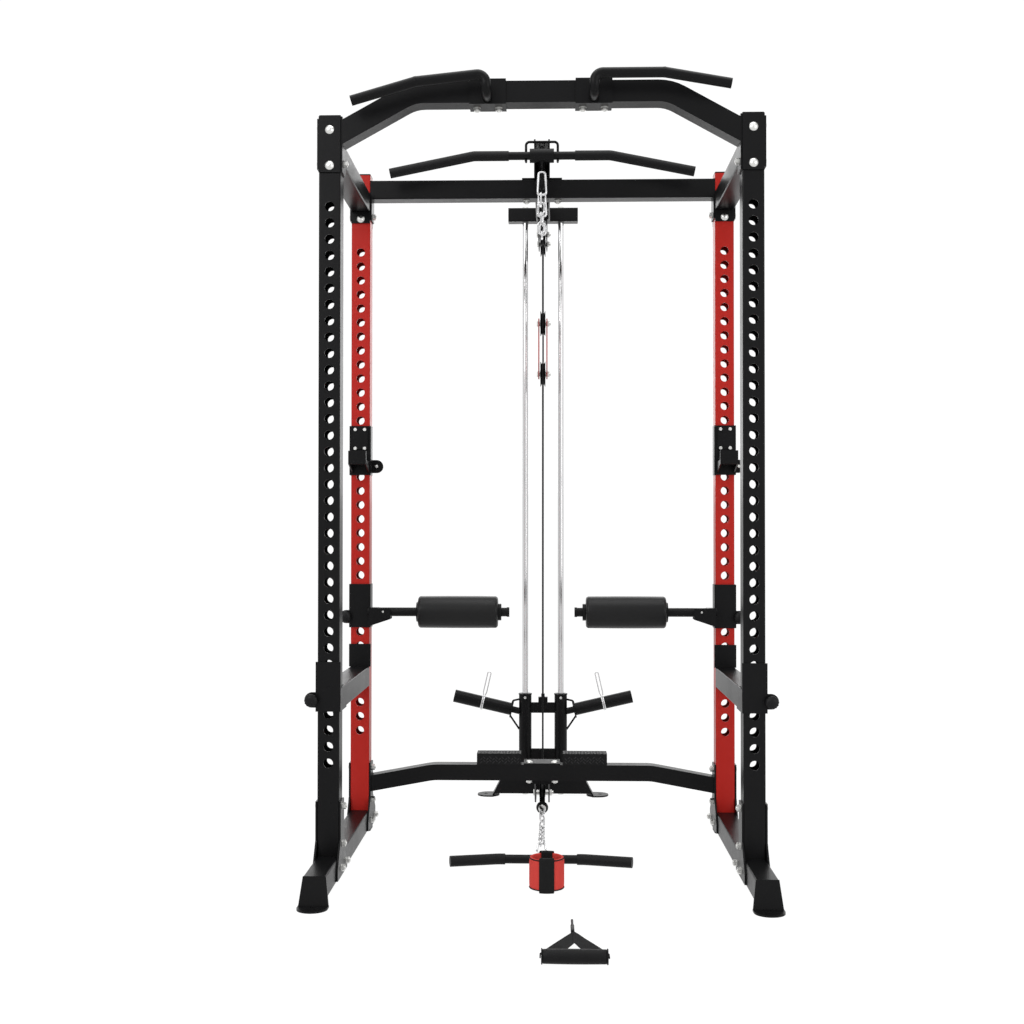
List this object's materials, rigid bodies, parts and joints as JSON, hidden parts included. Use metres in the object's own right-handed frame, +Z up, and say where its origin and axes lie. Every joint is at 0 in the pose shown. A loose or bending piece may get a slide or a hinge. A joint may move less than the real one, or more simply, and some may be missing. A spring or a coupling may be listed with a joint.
{
  "type": "power cage",
  "caption": "Black and red steel power cage with pull-up handles, plate-loaded cable tower, hooks, safety bars, leg rollers and loose cable attachments.",
  "frame": {"origin": "centre of the footprint on the floor", "axes": "+Z up, +Y from the open front towards the cable tower, +X to the right seen from the front"},
  "size_m": [1.296, 1.999, 2.2164],
  "materials": {
    "black_paint": "satin",
    "red_paint": "satin",
    "zinc": "satin",
    "chrome": "polished",
    "black_plastic": "matte",
    "rubber": "matte",
    "webbing": "matte",
    "red_fabric": "matte"
  },
  "bodies": {
    "cage": {"front_uprights": "black_paint", "rear_uprights": "red_paint", "end_caps": "black_plastic", "base_rails": "black_paint", "front_top_beam": "black_paint", "rear_top_beam": "black_paint", "side_top_beams": "black_paint", "rear_bottom_beam": "black_paint", "clamp_plates": "black_paint", "frame_fasteners": "zinc", "pull_up_handle_left": "black_paint", "pull_up_handle_right": "black_paint", "pulley_arm": "black_paint", "tower_crossbar": "black_paint", "guide_rods": "chrome", "rod_bumpers": "rubber", "tower_base": "black_paint", "tower_tie": "black_paint", "foot_plates": "black_paint", "floating_plates": "red_paint", "pulley_bolts": "zinc", "cables": "black_plastic", "row_stop_ball": "rubber", "row_chain": "chrome"},
    "carriage": {"weight_carriage": "black_paint", "carriage_bushes": "black_plastic", "cable_lift": "black_plastic"},
    "lat_end": {"lat_stop_ball": "rubber", "lat_chain": "chrome", "cable_drop": "black_plastic"},
    "front_pulley": {"front_pulley": "black_plastic"},
    "rear_top_pulley": {"rear_top_pulley": "black_plastic"},
    "lift_pulley": {"lift_pulley": "black_plastic"},
    "floating_pulley_upper": {"floating_pulley_upper": "black_plastic"},
    "floating_pulley_lower": {"floating_pulley_lower": "black_plastic"},
    "base_pulley": {"base_pulley": "black_plastic"},
    "low_pulley": {"low_pulley": "black_plastic"},
    "clip_left": {"spring_clip_left": "chrome"},
    "clip_right": {"spring_clip_right": "chrome"},
    "lat_handle": {"lat_bar": "black_paint", "lat_bar_grips": "rubber"},
    "row_handle": {"row_bar": "black_paint", "row_bar_grips": "rubber"},
    "d_handle": {"d_handle_grip": "rubber", "d_handle_strap": "webbing"},
    "cuff": {"ankle_cuff": "red_fabric"},
    "hook_left": {"j_hook_left": "black_paint"},
    "hook_pin_left": {"j_hook_pin_left": "zinc"},
    "roller_arm_left": {"roller_bracket_left": "black_paint"},
    "roller_left": {"leg_roller_left": "rubber"},
    "roller_pin_left": {"roller_knob_left": "black_plastic"},
    "safety_left": {"safety_bar_left": "black_paint"},
    "safety_pin_left": {"safety_knob_left": "black_plastic"},
    "hook_right": {"j_hook_right": "black_paint"},
    "hook_pin_right": {"j_hook_pin_right": "zinc"},
    "roller_arm_right": {"roller_bracket_right": "black_paint"},
    "roller_right": {"leg_roller_right": "rubber"},
    "roller_pin_right": {"roller_knob_right": "black_plastic"},
    "safety_right": {"safety_bar_right": "black_paint"},
    "safety_pin_right": {"safety_knob_right": "black_plastic"}
  },
  "joints": [
    {"name": "carriage_lift", "type": "slide", "parent": "cage", "child": "carriage", "axis": [0, 0, 1], "range_m": [0, 1.2], "deforming": ["cable_lift"]},
    {"name": "lat_pull", "type": "slide", "parent": "cage", "child": "lat_end", "axis": [0, 0, -1], "range_m": [0, 1.2], "deforming": ["cable_drop"]},
    {"name": "front_pulley_turn", "type": "hinge", "parent": "cage", "child": "front_pulley", "pos_m": [0, 0.2895, 2.152], "axis": [1, 0, 0], "range_deg": [0, 1720]},
    {"name": "rear_top_pulley_turn", "type": "hinge", "parent": "cage", "child": "rear_top_pulley", "pos_m": [0, 0.7595, 2.014], "axis": [1, 0, 0], "range_deg": [0, 1720]},
    {"name": "lift_pulley_turn", "type": "hinge", "parent": "cage", "child": "lift_pulley", "pos_m": [0, 0.9195, 2.014], "axis": [1, 0, 0], "range_deg": [0, 1720]},
    {"name": "floating_pulley_upper_turn", "type": "hinge", "parent": "cage", "child": "floating_pulley_upper", "pos_m": [0, 0.8395, 1.711], "axis": [-1, 0, 0], "range_deg": [0, 1720]},
    {"name": "floating_pulley_lower_turn", "type": "hinge", "parent": "cage", "child": "floating_pulley_lower", "pos_m": [0, 0.8395, 1.5295], "axis": [1, 0, 0], "continuous": true},
    {"name": "base_pulley_turn", "type": "hinge", "parent": "cage", "child": "base_pulley", "pos_m": [0, 0.7595, 0.088], "axis": [1, 0, 0], "continuous": true},
    {"name": "low_pulley_turn", "type": "hinge", "parent": "cage", "child": "low_pulley", "pos_m": [0, 0.5495, 0.088], "axis": [1, 0, 0], "continuous": true},
    {"name": "clip_slide_left", "type": "slide", "parent": "carriage", "child": "clip_left", "axis": [-0.9744, 0, 0.225], "range_m": [-0.09, 0.09]},
    {"name": "clip_slide_right", "type": "slide", "parent": "carriage", "child": "clip_right", "axis": [0.9744, 0, 0.225], "range_m": [-0.09, 0.09]},
    {"name": "lat_bar_lift_off", "type": "slide", "parent": "cage", "child": "lat_handle", "axis": [0, -1, 0], "range_m": [0, 0.3]},
    {"name": "row_bar_pick_up", "type": "slide", "parent": "cage", "child": "row_handle", "axis": [0, 0, 1], "range_m": [0, 0.5]},
    {"name": "d_handle_pick_up", "type": "slide", "parent": "cage", "child": "d_handle", "axis": [0, 0, 1], "range_m": [0, 0.5]},
    {"name": "cuff_pick_up", "type": "slide", "parent": "cage", "child": "cuff", "axis": [0, 0, 1], "range_m": [0, 0.5]},
    {"name": "j_hook_lift_off_left", "type": "slide", "parent": "cage", "child": "hook_left", "axis": [0, -1, 0], "range_m": [0, 0.1]},
    {"name": "j_hook_pin_pull_left", "type": "slide", "parent": "hook_left", "child": "hook_pin_left", "axis": [0, 1, 0], "range_m": [0, 0.012], "stiffness_N_per_m": 400},
    {"name": "roller_lift_off_left", "type": "slide", "parent": "cage", "child": "roller_arm_left", "axis": [0, -1, 0], "range_m": [0, 0.1]},
    {"name": "leg_roller_turn_left", "type": "hinge", "parent": "roller_arm_left", "child": "roller_left", "pos_m": [-0.265, 0.2735, 0.71], "axis": [1, 0, 0], "continuous": true},
    {"name": "roller_knob_pull_left", "type": "slide", "parent": "roller_arm_left", "child": "roller_pin_left", "axis": [0, -1, 0], "range_m": [0, 0.012], "stiffness_N_per_m": 400},
    {"name": "safety_bar_slide_left", "type": "slide", "parent": "cage", "child": "safety_left", "axis": [0, -1, 0], "range_m": [0, 0.03]},
    {"name": "safety_knob_pull_left", "type": "slide", "parent": "safety_left", "child": "safety_pin_left", "axis": [0, -1, 0], "range_m": [0, 0.012], "stiffness_N_per_m": 400},
    {"name": "j_hook_lift_off_right", "type": "slide", "parent": "cage", "child": "hook_right", "axis": [0, -1, 0], "range_m": [0, 0.1]},
    {"name": "j_hook_pin_pull_right", "type": "slide", "parent": "hook_right", "child": "hook_pin_right", "axis": [0, 1, 0], "range_m": [0, 0.012], "stiffness_N_per_m": 400},
    {"name": "roller_lift_off_right", "type": "slide", "parent": "cage", "child": "roller_arm_right", "axis": [0, -1, 0], "range_m": [0, 0.1]},
    {"name": "leg_roller_turn_right", "type": "hinge", "parent": "roller_arm_right", "child": "roller_right", "pos_m": [0.265, 0.2735, 0.71], "axis": [1, 0, 0], "continuous": true},
    {"name": "roller_knob_pull_right", "type": "slide", "parent": "roller_arm_right", "child": "roller_pin_right", "axis": [0, -1, 0], "range_m": [0, 0.012], "stiffness_N_per_m": 400},
    {"name": "safety_bar_slide_right", "type": "slide", "parent": "cage", "child": "safety_right", "axis": [0, -1, 0], "range_m": [0, 0.03]},
    {"name": "safety_knob_pull_right", "type": "slide", "parent": "safety_right", "child": "safety_pin_right", "axis": [0, -1, 0], "range_m": [0, 0.012], "stiffness_N_per_m": 400}
  ],
  "couplings": [
    {"joint": "lat_pull", "follows": "carriage_lift", "ratio": 1},
    {"joint": "front_pulley_turn", "follows": "carriage_lift", "rad_per_m": 25},
    {"joint": "rear_top_pulley_turn", "follows": "carriage_lift", "rad_per_m": 25},
    {"joint": "lift_pulley_turn", "follows": "carriage_lift", "rad_per_m": 25},
    {"joint": "floating_pulley_upper_turn", "follows": "carriage_lift", "rad_per_m": 25}
  ]
}
